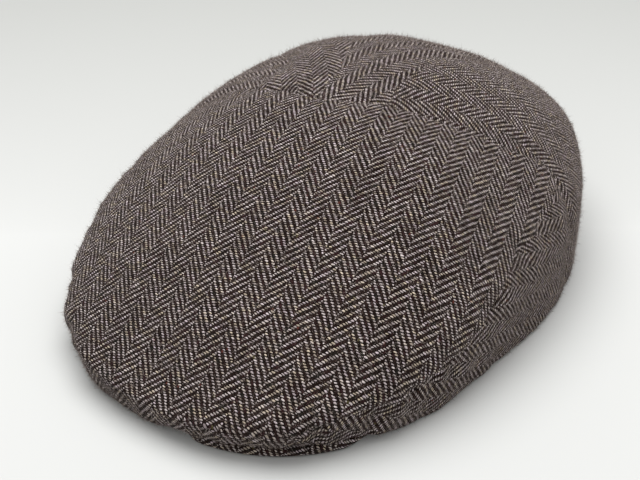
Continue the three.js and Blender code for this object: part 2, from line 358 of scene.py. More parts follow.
def on_crown(chart):
    """Points of the crown, in millimetres from the origin, for points of the flat chart."""
    flat = chart.reshape(-1, 2)
    found = []
    for first in range(0, len(flat), CHUNK):
        part = flat[first : first + CHUNK]
        angle = np.arctan2(part[:, 1], part[:, 0])
        share = np.clip(np.hypot(part[:, 0], part[:, 1]), 0, 1)
        r, z, length = meridians(angle)
        wanted = share * length[:, -1]
        row = np.arange(len(part))
        upper = np.clip((length < wanted[:, None]).sum(axis=1), 1, length.shape[1] - 1)
        lower = upper - 1
        between = (wanted - length[row, lower]) / (length[row, upper] - length[row, lower])
        radius = r[row, lower] + (r[row, upper] - r[row, lower]) * between
        height = z[row, lower] + (z[row, upper] - z[row, lower]) * between
        y = radius * np.sin(angle) + MIDDLE_Y
        found.append(np.stack([radius * np.cos(angle), y, height], axis=1))
    return np.vstack(found).reshape(*chart.shape[:-1], 3)


def chart_point(bearing, share):
    angle = math.radians(bearing)
    return (share * math.cos(angle), share * math.sin(angle))


def curve(before, start, end, after, t):
    """A smooth curve from start to end over t from 0 to 1, led by the points before and after."""
    leave = (end - before) / 2
    arrive = (after - start) / 2
    square = -3 * start + 3 * end - 2 * leave - arrive
    cube = 2 * start - 2 * end + leave + arrive
    return start + leave * t + square * t**2 + cube * t**3


def seam_line(rows, steps):
    """A smooth line through a seam's rows, with points at even distances."""
    knots = np.array([chart_point(*row) for row in rows])
    knots = np.vstack([2 * knots[0] - knots[1], knots, 2 * knots[-1] - knots[-2]])
    t = np.linspace(0, 1, CURVE_STEPS, endpoint=False)[:, None]
    spans = zip(knots, knots[1:], knots[2:], knots[3:])
    line = np.vstack([*(curve(*span, t) for span in spans), knots[-2:-1]])
    return evenly(line, steps)


def evenly(line, steps):
    """The same line with points at even distances."""
    reach = np.hstack([0, np.cumsum(np.linalg.norm(np.diff(line, axis=0), axis=1))])
    wanted = np.linspace(0, reach[-1], steps + 1)
    return np.stack([np.interp(wanted, reach, line[:, k]) for k in range(2)], axis=1)


def lower_edge(start, end, steps):
    angle = np.radians(np.linspace(start, end, steps + 1))
    return np.stack([np.cos(angle), np.sin(angle)], axis=1)


def joined(*runs):
    """Runs laid end to end, without the points that they share."""
    return np.vstack([runs[0], *(run[1:] for run in runs[1:])])


def net(bottom, top, left, right):
    """A net of chart points between four borders, by the sum of the two rulings."""
    u = np.linspace(0, 1, len(bottom))[None, :, None]
    v = np.linspace(0, 1, len(left))[:, None, None]
    low = bottom[0] + (bottom[-1] - bottom[0]) * u
    high = top[0] + (top[-1] - top[0]) * u
    across = left[:, None] + (right - left)[:, None] * u
    along = bottom[None] + (top - bottom)[None] * v
    return across + along - (low + (high - low) * v)


def bearing_of(point):
    return math.degrees(math.atan2(point[1], point[0]))


def front_net():
    """The front panel, between the top seam, the lower edge and the two side seams."""
    top = joined(*(seam_line(rows, TOP_RUN_STEPS) for rows in TOP_SEAM.values()))
    bottom = lower_edge(TIP_BEARING["right"], TIP_BEARING["left"], len(top) - 1)

    def side(rows):
        start = seam_line([(rows[0][0], 1), rows[0]], TIP_STEPS)
        return joined(start, seam_line(rows, SIDE_STEPS))

    return net(bottom, top, side(SIDE_SEAM["right"]), side(SIDE_SEAM["left"]))


def side_net(side):
    """A side panel, between its seam, the lower edge and the first back seam."""
    seam = seam_line(SIDE_SEAM[side], SIDE_STEPS)
    back_rows = BACK_SEAM["outer_" + side]
    edge = lower_edge(TIP_BEARING[side], back_rows[-1][0], SIDE_STEPS)
    tip = seam_line([(TIP_BEARING[side], 1), SIDE_SEAM[side][0]], DEPTH_STEPS)
    back = seam_line(back_rows[::-1], DEPTH_STEPS)
    if side == "left":
        return net(edge, seam, tip, back)
    return net(edge[::-1], seam[::-1], back, tip)


def back_net(top, left, right):
    end = bearing_of(right[0]) % 360
    return net(lower_edge(bearing_of(left[0]), end, len(top) - 1), top, left, right)


def inner_back_net(run, left, right):
    top = seam_line(TOP_SEAM[run], INNER_PANEL_STEPS)[::-1]
    sides = [seam_line(BACK_SEAM[name][::-1], BACK_STEPS) for name in (left, right)]
    return back_net(top, *sides)


def outer_back_net(side):
    """A wedge, whose outer side runs up its back seam and on along the top seam to a point."""
    top_run = seam_line(TOP_SEAM[side + "_outer"], BACK_STEPS - DEPTH_STEPS)
    if side == "left":
        top_run = top_run[::-1]
    outer = joined(seam_line(BACK_SEAM["outer_" + side][::-1], DEPTH_STEPS), top_run)
    inner = seam_line(BACK_SEAM["inner_" + side][::-1], BACK_STEPS)
    for line in (outer, inner):
        line[-1] += (line[-2] - line[-1]) * POINT_CUT
    left, right = (outer, inner) if side == "left" else (inner, outer)
    share = np.linspace(0, 1, INNER_PANEL_STEPS + 1)[:, None]
    return back_net(left[-1] + (right[-1] - left[-1]) * share, left, right)


def form_normals(chart):
    """The crown's own normals, the same on both sides of a seam."""
    inside = chart * (1 - NORMAL_STEP)
    to_side = np.array([NORMAL_STEP / 2, 0])
    to_back = np.array([0, NORMAL_STEP / 2])
    across = on_crown(inside + to_side) - on_crown(inside - to_side)
    along = on_crown(inside + to_back) - on_crown(inside - to_back)
    normal = np.cross(across, along)
    return normal / np.linalg.norm(normal, axis=-1, keepdims=True)


def nearest_on(line, points):
    """Each point's distance from a line, and its nearest place there."""
    tree = kdtree.KDTree(len(line))
    for i, place in enumerate(line):
        tree.insert(place, i)
    tree.balance()
    found = [tree.find(place) for place in points.reshape(-1, 3)]
    distance = np.array([hit[2] for hit in found]).reshape(points.shape[:-1])
    return distance, np.array([hit[0] for hit in found]).reshape(points.shape)


def smooth_noise(points, wavelength, seed):
    """Soft noise from -1 to 1 at points in millimetres."""
    away = Vector((seed, seed, seed))
    places = points.reshape(-1, 3) / wavelength
    values = [noise.noise(Vector(place) + away) for place in places]
    return np.array(values).reshape(points.shape[:-1])


def seam_valley(distance, depth, width):
    return -depth * np.exp(-((distance / width) ** 2))


def puckers(distance, nearest, seam):
    """Little gathers that stand square to a seam, the same on both its sides, and fade from it."""
    place = nearest + distance[..., None] * seam.pucker_spread
    gather = smooth_noise(place, seam.pucker_pitch, seam.seed + GATHERS_AFTER_SEED)
    return seam.pucker_height * gather * np.exp(-distance / seam.pucker_reach)


def crowding(form, seam):
    """More gathers low down, where the side seam runs out over the peak."""
    return 1 + seam.crowding * (1 - smoothstep(form[..., 2], CROWDED_BELOW_Z, CROWDING_ENDS_Z))


def clear_selection():
    if bpy.context.object and bpy.context.object.mode != "OBJECT":
        bpy.ops.object.mode_set(mode="OBJECT")
    bpy.ops.object.select_all(action="DESELECT")


def mesh_object(name, points, faces):
    """A new mesh object from points in millimetres, selected alone."""
    mesh = bpy.data.meshes.new(name)
    mesh.from_pydata((points.reshape(-1, 3) * MM).tolist(), [], faces)
    mesh.update()
    piece = bpy.data.objects.new(name, mesh)
    bpy.context.collection.objects.link(piece)
    clear_selection()
    piece.select_set(True)
    bpy.context.view_layer.objects.active = piece
    return piece


def net_object(name, points):
    """A mesh of quads over a net of points in millimetres."""
    rows, columns = points.shape[:2]
    corner = np.arange(rows * columns).reshape(rows, columns)
    ring = [corner[:-1, :-1], corner[:-1, 1:], corner[1:, 1:], corner[1:, :-1]]
    return mesh_object(name, points, np.stack(ring, axis=-1).reshape(-1, 4).tolist())


def finer(values, stride):
    """A net with more rows, and then more columns, by a smooth curve through its own."""
    shares = np.arange(stride) / stride
    for _ in ("rows", "columns"):
        first = 2 * values[:1] - values[1:2]
        last = 2 * values[-1:] - values[-2:-1]
        ends = np.concatenate([first, values, last])
        span = (ends[:-3], ends[1:-2], ends[2:-1], ends[3:])
        filled = np.stack([curve(*span, t) for t in shares], axis=1)
        filled = filled.reshape(-1, *values.shape[1:])
        values = np.concatenate([filled, values[-1:]]).swapaxes(0, 1)
    return values


def rotation(turn):
    """Turns rows of flat points clockwise."""
    return np.array([[math.cos(turn), -math.sin(turn)], [math.sin(turn), math.cos(turn)]])


def flattened(points):
    """The net laid flat with the least stretch, in millimetres."""
    coarse = points[::FLAT_STRIDE, ::FLAT_STRIDE]
    trial = net_object("flat_trial", coarse)
    trial.data.uv_layers.new(name="flat")
    bpy.ops.object.mode_set(mode="EDIT")
    bpy.ops.mesh.select_all(action="SELECT")
    bpy.ops.uv.unwrap(method="MINIMUM_STRETCH", margin=0)
    bpy.ops.object.mode_set(mode="OBJECT")
    mesh = trial.data
    corner = np.empty(len(mesh.loops), dtype=np.int64)
    mesh.loops.foreach_get("vertex_index", corner)
    values = np.empty(len(mesh.loops) * 2)
    mesh.uv_layers["flat"].data.foreach_get("uv", values)
    flat = np.zeros((len(mesh.vertices), 2))
    flat[corner] = values.reshape(-1, 2)
    bpy.data.objects.remove(trial)
    bpy.data.meshes.remove(mesh)
    flat = finer(flat.reshape(*coarse.shape[:2], 2), FLAT_STRIDE)
    signed = net_area(flat)
    if signed < 0:
        flat[..., 0] *= -1
    return flat * math.sqrt(cloth_area(points) / abs(signed))


def net_area(flat):
    """Area of a flat net, below zero where it lies face down."""
    first = flat[1:, 1:] - flat[:-1, :-1]
    second = flat[1:, :-1] - flat[:-1, 1:]
    return 0.5 * (first[..., 0] * second[..., 1] - first[..., 1] * second[..., 0]).sum()


def cloth_area(points):
    first = points[1:, 1:] - points[:-1, :-1]
    second = points[1:, :-1] - points[:-1, 1:]
    return 0.5 * np.linalg.norm(np.cross(first, second), axis=-1).sum()


def with_grain(points, flat, bearing):
    """Turns a flat net so that its second axis follows the grain at the panel's middle."""
    rows, columns = points.shape[:2]
    j, i = rows // 2, columns // 2
    reach = min(rows, columns) // GRAIN_READ_OVER

    def steps(net):
        across = net[j, i + reach] - net[j, i - reach]
        return np.stack([across, net[j + reach, i] - net[j - reach, i]])

    angle = math.radians(bearing)
    plan = steps(points)[:, :2]
    parts = np.linalg.solve(plan.T, (math.cos(angle), math.sin(angle)))
    grain = parts @ steps(flat)
    turn = math.pi / 2 - math.atan2(grain[1], grain[0])
    return (flat - flat[j, i]) @ rotation(-turn)


def drawn_in(flat, name):
    """The weave's own plane for a flat net, where blocking has drawn the cloth in."""
    drawn = DRAWN_IN[name]
    turned = flat @ rotation(math.radians(drawn["turn"]))
    across, along = np.moveaxis(turned, -1, 0)
    finer_along = drawn["along"] * along
    finer_across = drawn["across"] * across
    columns = across * (drawn["fine"] + finer_along + finer_across / 2)
    picks = along * (drawn["fine"] + finer_along / 2 + finer_across)
    return np.stack([columns, picks], axis=-1)


def cut_size(flat):
    """Sides, in metres, of the smallest rectangle of cloth that the panel is cut from."""
    places = flat.reshape(-1, 2)
    turned = [places @ rotation(math.radians(turn)) for turn in CUT_TURNS]
    return tuple(min((np.ptp(laid, axis=0) * MM for laid in turned), key=np.prod))


def write_map(piece, name, flat):
    """Gives a piece a UV map from one place for each of its points."""
    layer = piece.data.uv_layers.new(name=name)
    corner = np.empty(len(piece.data.loops), dtype=np.int64)
    piece.data.loops.foreach_get("vertex_index", corner)
    values = flat.reshape(-1, 2)[corner]
    layer.data.foreach_set("uv", values.ravel())


def apply_modifiers(piece):
    for modifier in list(piece.modifiers):
        bpy.ops.object.modifier_apply(modifier=modifier.name)


def cloth_panel(name, chart):
    """One sewn panel of the crown: its relief, its wall and its weave."""
    cloth = bpy.context.scene.cap_cloth
    form = on_crown(chart)
    flat = with_grain(form, flattened(form), GRAIN[name])
    normals = form_normals(chart)
    points = form + normals * sewn_relief(form)[..., None]
    piece = net_object(name + "_cloth", points)
    write_map(piece, "weave", drawn_in(flat, name))
    OUTER_FACES.append((points, normals))
    wall = piece.modifiers.new("wall", "SOLIDIFY")
    wall.thickness = cloth.thickness
    wall.offset = -1
    apply_modifiers(piece)
    bpy.ops.object.shade_smooth_by_angle(angle=SMOOTH_BELOW)
    area = cloth_area(form) * MM**2
    piece.data.materials.append(tweed_material())
    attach(piece, "root")
    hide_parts(name)
    cut_size(flat)
    return piece


def on_seams(seams):
    """Close points along seams, in millimetres."""
    return on_crown(np.vstack([seam_line(rows, SEAM_POINTS) for rows in seams]))


def sewn_relief(form):
    """Relief in millimetres of a panel, with valleys and gathers at seams and a rolled hem."""
    seam = bpy.context.scene.cap_seams
    tips = [[(TIP_BEARING[side], 1), rows[0]] for side, rows in SIDE_SEAM.items()]
    sides = on_seams([*SIDE_SEAM.values(), *tips])
    others = on_seams([*TOP_SEAM.values(), *BACK_SEAM.values()])
    height = seam.softness * smooth_noise(form, seam.softness_pitch, seam.seed)
    distance, nearest = nearest_on(sides, form)
    height += puckers(distance, nearest, seam) * crowding(form, seam)
    distance = np.minimum(distance, nearest_on(others, form)[0])
    height += seam_valley(distance, seam.valley_depth, seam.valley_width)
    height += seam_valley(distance, seam.hollow_depth, seam.hollow_width)
    distance, nearest = nearest_on(form[0], form)
    height += puckers(distance, nearest, seam) * seam.hem_gather
    roll = np.clip(1 - distance / seam.hem_round, 0, 1)
    return height - seam.hem_round * (1 - np.sqrt(1 - roll**2))


class Shade:
    """A socket of a material's nodes, which can stand in a Python expression."""

    def __init__(self, recipe, socket):
        self.recipe = recipe
        self.socket = socket

    def maths(self, operation, *terms):
        inputs = dict(enumerate(terms))
        return self.recipe.node("ShaderNodeMath", {"operation": operation}, inputs)

    def __add__(self, other):
        return self.maths("ADD", self, other)

    __radd__ = __add__

    def __sub__(self, other):
        return self.maths("SUBTRACT", self, other)

    def __rsub__(self, other):
        return self.maths("SUBTRACT", other, self)

    def __mul__(self, other):
        return self.maths("MULTIPLY", self, other)

    __rmul__ = __mul__

    def __truediv__(self, other):
        return self.maths("DIVIDE", self, other)

    def __mod__(self, other):
        return self.maths("FLOORED_MODULO", self, other)

    def __pow__(self, other):
        return self.maths("POWER", self, other)

    def __lt__(self, other):
        return self.maths("LESS_THAN", self, other)

    def __gt__(self, other):
        return self.maths("GREATER_THAN", self, other)

    def floor(self):
        return self.maths("FLOOR", self)

    def sine(self):
        return self.maths("SINE", self)

    def lowest(self, other):
        return self.maths("MINIMUM", self, other)

    def highest(self, other):
        return self.maths("MAXIMUM", self, other)

    def ramp(self, start, slope, most=1):
        """A share that rises from the start, or falls to it where the slope is below zero."""
        return ((self - start) * slope).highest(0).lowest(most)

    def between(self, low, high):
        """A value from 0 to 1, laid over another range."""
        return self * (high - low) + low


class Recipe:
    """The nodes of one material."""

    def __init__(self, name):
        self.material = bpy.data.materials.new(name)
        self.material.use_nodes = True
        self.tree = self.material.node_tree
        self.tree.nodes.clear()

    def node(self, kind, settings=None, inputs=None, output=0):
        made = self.tree.nodes.new(kind)
        for key, value in (settings or {}).items():
            setattr(made, key, value)
        for key, value in (inputs or {}).items():
            if isinstance(value, Shade):
                self.tree.links.new(value.socket, made.inputs[key])
            else:
                made.inputs[key].default_value = value
        return Shade(self, made.outputs[output]) if made.outputs else None

    def mix(self, factor, first, second, blend="MIX"):
        settings = {"data_type": "RGBA", "blend_type": blend}
        inputs = {
            MIX_FACTOR: factor,
            MIX_FIRST: as_colour(first),
            MIX_SECOND: as_colour(second),
        }
        return self.node("ShaderNodeMix", settings, inputs, output=MIX_RESULT)

    def times(self, colour, factor):
        return self.mix(1.0, colour, factor, "MULTIPLY")

    def noise(self, place, scale=1.0, detail=2.0):
        inputs = {"Vector": place, "Scale": scale, "Detail": detail}
        return self.node("ShaderNodeTexNoise", None, inputs)

    def wander(self, place, scale=1.0):
        """A noise about zero."""
        return self.noise(place, scale) - 0.5

    def parts(self, place):
        """The x, y and z of a vector."""
        first = self.node("ShaderNodeSeparateXYZ", None, {0: place})
        return [Shade(self, socket) for socket in first.socket.node.outputs]

    def own_map(self, name):
        return self.node("ShaderNodeUVMap", {"uv_map": name})

    def object_place(self):
        return self.node("ShaderNodeTexCoord", None, None, output=OBJECT_PLACE)

    def vector(self, x, y, z=0.0):
        return self.node("ShaderNodeCombineXYZ", None, {0: x, 1: y, 2: z})

    def chance(self, place):
        settings = {"noise_dimensions": "3D"}
        return self.node("ShaderNodeTexWhiteNoise", settings, {"Vector": place})

    def finish(self, **sockets):
        shader = self.node("ShaderNodeBsdfPrincipled", None, sockets)
        self.node("ShaderNodeOutputMaterial", None, {"Surface": shader})
        return self.material


def as_colour(value):
    if isinstance(value, Shade):
        return value
    return (*value[:3], 1.0)


def tweed_material():
    """Herringbone twill: pale weft beads over two dark ends, and the step turns each column."""
    if "herringbone_tweed" in bpy.data.materials:
        return bpy.data.materials["herringbone_tweed"]
    cloth = bpy.context.scene.cap_cloth
    recipe = Recipe("herringbone_tweed")
    place = recipe.own_map("weave")
    u, v, _ = recipe.parts(place)
    drift = recipe.wander(place, DRIFT_FINENESS)
    waver = recipe.wander(place, WAVER_FINENESS)
    jog = recipe.wander(place, JOG_FINENESS)
    lean = recipe.wander(recipe.vector(v * LEAN_FINENESS, u * LEAN_FINENESS))
    sag = recipe.wander(recipe.vector(v, u), SAG_FINENESS)

    # Across and along count ends and picks, and a and b are the place within one.
    ends = cloth.ends_in_column
    sideways = drift * cloth.drift + waver * cloth.waver + jog * cloth.jog
    across = (u + sideways) / (cloth.column_width / ends)
    along = (v + lean * cloth.waver * LEAN_BY_WAVER + sag * cloth.jog) / cloth.pick_pitch
    end = across.floor()
    pick = along.floor()
    a = across - end
    b = along - pick

    # The step falls in every other column. A float starts where the place in the repeat is 0.
    column_place = end % (2 * ends)
    falling = column_place > ends - 0.5
    step = column_place.lowest(2 * ends - 1 - column_place) + falling * FLOAT
    k = (step + pick) % REPEAT
    weft_up = k < FLOAT - 0.5
    weft_part = (k + falling * (1 - 2 * k) + a) / FLOAT
    warp_part = (k - FLOAT + b) / FLOAT

    float_start = end - k - falling * (1 - 2 * k)
    float_tone = recipe.chance(recipe.vector(float_start, pick, FLOAT_TONE_LAYER))
    float_size = recipe.chance(recipe.vector(float_start, pick, FLOAT_SIZE_LAYER))
    reach = (weft_part - 0.5) / float_size.between(*BEAD_HALF_LENGTH)
    rise = (b - 0.5) / (float_size * BEAD_HEIGHT_SPREAD + cloth.bead_height)
    oval = 1 - reach * reach - rise * rise
    bead = oval.ramp(0, cloth.bead_edge) * weft_up
    weft_height = oval.highest(0) ** 0.5
    end_arch = (warp_part * math.pi).sine().highest(0) ** END_ROUND_ALONG
    warp_height = end_arch * (a * math.pi).sine() ** END_ROUND_ACROSS
    height = (warp_height * END_HEIGHT).highest(weft_height * weft_up)

    pick_tone = recipe.chance(recipe.vector(pick, (across * PICK_TONES_ACROSS).floor()))
    end_place = recipe.vector(end, (along * END_TONES_ALONG).floor(), END_TONE_LAYER)
    end_tone = recipe.chance(end_place)
    strand_place = recipe.vector(across * STRANDS_ACROSS, along * STRANDS_ALONG, STRANDS_LAYER)
    strands = recipe.noise(strand_place).ramp(*STRAND_RAMP)
    pale_share = pick_tone * PALE_BY_PICK + float_tone * PALE_BY_FLOAT + strands * PALE_BY_STRAND
    dye_place = recipe.vector(across * DYE_ACROSS, along * DYE_ALONG, DYE_LAYER)
    dye = recipe.noise(dye_place, detail=FINE_DETAIL)
    weft_pale = recipe.mix(dye.ramp(*ROSE_RAMP), cloth.weft_pale, cloth.weft_rose)
    weft_pale = recipe.mix(dye.ramp(*TAN_RAMP), weft_pale, cloth.weft_tan)
    weft = recipe.mix(pale_share.lowest(1), cloth.weft_dull, weft_pale)
    warp = recipe.mix(end_tone, cloth.warp_dark, cloth.warp_brown)
    heather = recipe.noise(place, HEATHER_FINENESS)
    warp = recipe.mix(heather.ramp(*PLUM_RAMP), warp, cloth.warp_plum)
    warp = recipe.mix(heather.ramp(*MOSS_RAMP), warp, cloth.warp_moss)
    # Painted shade: each end is darkened towards its edges, where the yarns meet.
    warp = recipe.times(warp, warp_height.between(*END_PAINTED_SHADE))
    colour = recipe.mix(bead, warp, weft)

    fleck = recipe.chance(recipe.vector(end, pick, FLECK_LAYER)) > cloth.fleck_start
    fleck_kind = recipe.chance(recipe.vector(end, pick, FLECK_KIND_LAYER))
    fleck_colour = recipe.mix(fleck_kind > 0.5, cloth.fleck_red, cloth.fleck_olive)
    colour = recipe.mix(fleck * FLECK_STRENGTH, colour, fleck_colour)
    fluff = recipe.noise(place, FLUFF_FINENESS, FINE_DETAIL)
    patch = recipe.noise(place, PATCH_FINENESS)
    haze = fluff.ramp(*FLUFF_RAMP) * cloth.haze * patch.between(*HAZE_PATCHES)
    colour = recipe.mix(haze, colour, cloth.nap_colour)
    colour = recipe.times(colour, patch.between(*TONE_PATCHES))
    _, back, up = recipe.parts(recipe.object_place())
    # Painted shade: the base colour is darkened at the front, low down, for shade that falls there.
    front_painted_shade = back.ramp(*FRONT_PAINTED_SHADE_RAMP) * (1 - up / cloth.front_painted_shade_height).highest(0)
    colour = recipe.times(colour, 1 - front_painted_shade * cloth.front_painted_shade)
    relief = height + (fluff - 0.5) * FLUFF_HEIGHT
    settings = {"Strength": 0.9, "Distance": cloth.yarn_relief, "Height": relief}
    bump = recipe.node("ShaderNodeBump", None, settings)
    return recipe.finish(
        **{
            "Base Color": colour,
            "Roughness": 0.92,
            "Specular IOR Level": 0.06,
            "Sheen Weight": cloth.sheen,
            "Sheen Roughness": 0.45,
            "Sheen Tint": (1.0, 0.93, 0.9, 1.0),
            "Normal": bump,
        }
    )


def fibre_material():
    """Loose wool, from dark to pale fibres, and paler towards their tips."""
    if "loose_wool" in bpy.data.materials:
        return bpy.data.materials["loose_wool"]
    cloth = bpy.context.scene.cap_cloth
    recipe = Recipe("loose_wool")
    pale, along, _ = recipe.parts(recipe.own_map("strand"))
    tone = pale**FIBRE_TONE_POWER * along.between(ROOT_TONE, 1)
    colour = recipe.mix(tone, cloth.fibre_dark, cloth.fibre_pale)
    return recipe.finish(**{"Base Color": colour, "Roughness": 0.85, "Specular IOR Level": 0.2})


def paper_material():
    """White paper, with painted shade that darkens it towards the far end of the table."""
    studio = bpy.context.scene.cap_studio
    recipe = Recipe("studio_paper")
    place = recipe.object_place()
    x, y, _ = recipe.parts(place)
    away = x * FAR_END[0] + y * FAR_END[1]
    # Painted shade: the paper darkens with distance towards the far end.
    far = away.ramp(studio.painted_shade_from, 1 / studio.painted_shade_reach) ** PAINTED_SHADE_POWER
    grain = recipe.noise(place, PAPER_GRAIN_FINENESS) * PAPER_GRAIN
    near_colour = recipe.mix(grain, studio.paper, PAPER_GRAIN_COLOUR)
    colour = recipe.mix(far, near_colour, studio.paper_far_painted_shade)
    return recipe.finish(**{"Base Color": colour, "Roughness": 0.9, "Specular IOR Level": 0.1})


class CapClothSettings(PropertyGroup):
    """Sizes and colours of the cloth"""

    thickness: FloatProperty(
        name="Thickness", description="Wall of the cloth", default=2.0 * MM, unit="LENGTH"
    )
    column_width: FloatProperty(
        name="Column width",
        description="One column of the herringbone, in mm",
        default=7.51,
    )
    ends_in_column: IntProperty(
        name="Ends", description="Warp ends in one column", default=10
    )
    pick_pitch: FloatProperty(
        name="Pick pitch", description="Distance between weft picks, in mm", default=0.88
    )
    drift: FloatProperty(
        name="Drift", description="Slow wander of the ends, in mm", default=1.2
    )
    waver: FloatProperty(
        name="Waver", description="Short wander of the yarns, in mm", default=0.8
    )
    jog: FloatProperty(name="Jog", description="Unevenness from yarn to yarn, in mm", default=0.3)
    yarn_relief: FloatProperty(
        name="Yarn relief", description="Height of a yarn", default=0.45 * MM, unit="LENGTH"
    )
    bead_height: FloatProperty(
        name="Bead height",
        description="Half height of a pale bead, as a share of a pick",
        default=0.34,
    )
    bead_edge: FloatProperty(
        name="Bead edge", description="Sharpness of a bead's edge", default=2.2
    )
    sheen: FloatProperty(
        name="Sheen", description="Pale haze of the nap at grazing angles", default=0.06
    )
    # Painted shade, which darkens the low front of the cap where shade falls, and how far up it
    # reaches.
    front_painted_shade: FloatProperty(
        name="Front painted shade", description="Darkening of the front edge by hands", default=0.25
    )
    front_painted_shade_height: FloatProperty(
        name="Handled height",
        description="How far up the darkening goes",
        default=45.0 * MM,
        unit="LENGTH",
    )
    haze: FloatProperty(name="Haze", description="Share of loose fluff on the yarns", default=0.13)
    fleck_start: FloatProperty(
        name="Fleck start", description="Share of yarn with no fleck", default=0.996
    )
    warp_dark: FloatVectorProperty(
        name="Warp dark",
        description="Darkest warp",
        subtype="COLOR",
        default=(0.009, 0.0032, 0.0022),
    )
    warp_brown: FloatVectorProperty(
        name="Warp brown",
        description="Palest warp",
        subtype="COLOR",
        default=(0.031, 0.0165, 0.013),
    )
    warp_plum: FloatVectorProperty(
        name="Plum warp",
        description="Reddish ends",
        subtype="COLOR",
        default=(0.042, 0.015, 0.017),
    )
    warp_moss: FloatVectorProperty(
        name="Moss warp",
        description="Greenish ends",
        subtype="COLOR",
        default=(0.016, 0.018, 0.014),
    )
    weft_dull: FloatVectorProperty(
        name="Weft dull",
        description="Dull weft",
        subtype="COLOR",
        default=(0.13, 0.096, 0.085),
    )
    weft_pale: FloatVectorProperty(
        name="Weft pale",
        description="Pale weft",
        subtype="COLOR",
        default=(0.9, 0.8, 0.78),
    )
    weft_tan: FloatVectorProperty(
        name="Tan weft",
        description="Yellowish picks",
        subtype="COLOR",
        default=(0.88, 0.74, 0.56),
    )
    weft_rose: FloatVectorProperty(
        name="Rose weft",
        description="Pinkish picks",
        subtype="COLOR",
        default=(0.9, 0.76, 0.82),
    )
    nap_colour: FloatVectorProperty(
        name="Nap",
        description="Loose fluff",
        subtype="COLOR",
        default=(0.16, 0.115, 0.1),
    )
    fibre_dark: FloatVectorProperty(
        name="Dark fibre",
        description="Darkest loose fibre",
        subtype="COLOR",
        default=(0.1, 0.068, 0.059),
    )
    fibre_pale: FloatVectorProperty(
        name="Pale fibre",
        description="Palest loose fibre",
        subtype="COLOR",
        default=(0.62, 0.54, 0.49),
    )
    fleck_red: FloatVectorProperty(
        name="Red fleck",
        description="Reddish fleck",
        subtype="COLOR",
        default=(0.2, 0.05, 0.035),
    )
    fleck_olive: FloatVectorProperty(
        name="Olive fleck",
        description="Olive fleck",
        subtype="COLOR",
        default=(0.16, 0.14, 0.05),
    )


class CapSeamSettings(PropertyGroup):
    """Relief of the seams and the hem, in millimetres"""

    seed: IntProperty(name="Seed", description="Choice of dents and gathers", default=10)
    valley_depth: FloatProperty(name="Valley depth", description="Drop at a seam", default=0.4)
    valley_width: FloatProperty(name="Valley width", description="Reach of the drop", default=1.4)
    hollow_depth: FloatProperty(name="Hollow depth", description="Wide drop", default=0.7)
    hollow_width: FloatProperty(name="Hollow width", description="Its reach", default=7.0)
    pucker_height: FloatProperty(name="Pucker height", description="Height of gathers", default=2.4)
    pucker_pitch: FloatProperty(name="Pucker pitch", description="Distance of gathers", default=8.0)
    pucker_reach: FloatProperty(name="Pucker reach", description="Where gathers fade", default=10.0)
    pucker_spread: FloatProperty(
        name="Pucker spread", description="How short a gather is for its width", default=0.3
    )
    crowding: FloatProperty(name="Crowding", description="More gathers low down", default=1.9)
    hem_gather: FloatProperty(name="Hem gathers", description="Height, as a share", default=0.25)
    softness: FloatProperty(name="Softness", description="Height of soft dents", default=1.2)
    softness_pitch: FloatProperty(name="Dent pitch", description="Size of soft dents", default=34.0)
    hem_round: FloatProperty(name="Hem round", description="Radius of the rolled hem", default=0.8)


class CapNapSettings(PropertyGroup):
    """Loose fibres on the cloth, in millimetres"""

    fibres: IntProperty(name="Fibres", description="Loose fibres of each half", default=60000)
    seed: IntProperty(name="Seed", description="Choice of places and curls", default=5)
    shortest: FloatProperty(name="Shortest", description="Least length", default=0.6)
    length: FloatProperty(name="Length", description="Mean length above that", default=0.7)
    longest: FloatProperty(name="Longest", description="Greatest length", default=4.5)
    width: FloatProperty(name="Width", description="Width at the root", default=0.12)
    bend: FloatProperty(name="Bend", description="Most curl, as a share of length", default=0.6)
    lowest_lift: FloatProperty(
        name="Lowest lift", description="Least rise off the cloth", default=0.4
    )


class CapStudioSettings(PropertyGroup):
    """Light and paper of the studio"""

    paper: FloatVectorProperty(
        name="Paper",
        description="Colour of the paper",
        subtype="COLOR",
        default=(0.63, 0.635, 0.622),
    )
    # Painted shade: the paper's colour at the far end, and where and over what distance it darkens.
    paper_far_painted_shade: FloatVectorProperty(
        name="Far paper",
        description="Paper at the far end",
        subtype="COLOR",
        default=(0.44, 0.445, 0.43),
    )
    painted_shade_from: FloatProperty(
        name="Dim from",
        description="Where the paper starts to dim",
        default=0.03,
        unit="LENGTH",
    )
    painted_shade_reach: FloatProperty(
        name="Dim reach",
        description="Distance over which it dims",
        default=0.27,
        unit="LENGTH",
    )
    key_power: FloatProperty(name="Key", description="Power of the window light", default=16.3)
    fill_strength: FloatProperty(name="Fill", description="Strength of the room", default=0.7)
    lens: FloatProperty(name="Lens", description="Focal length, in mm", default=72.01)
    azimuth: FloatProperty(
        name="Azimuth",
        description="Camera bearing",
        default=math.radians(35.13),
        subtype="ANGLE",
    )
    elevation: FloatProperty(
        name="Elevation",
        description="Camera height",
        default=math.radians(34.27),
        subtype="ANGLE",
    )
    roll: FloatProperty(
        name="Roll", description="Camera roll", default=math.radians(-0.95), subtype="ANGLE"
    )
    eye: FloatVectorProperty(
        name="Eye",
        description="Camera place",
        subtype="TRANSLATION",
        default=(0.26769, -0.39532, 0.33958),
    )


class CAP_OT_front_panel(Operator):
    """Builds the large front and top panel"""

    bl_idname = "cap.front_panel"
    bl_label = "Front Panel"

    def execute(self, context):
        cloth_panel("front_panel", front_net())
        return {"FINISHED"}


class CAP_OT_side_panels(Operator):
    """Builds the two side panels"""

    bl_idname = "cap.side_panels"
    bl_label = "Side Panels"

    def execute(self, context):
        for side in ("left", "right"):
            cloth_panel("side_panel_" + side, side_net(side))
        return {"FINISHED"}


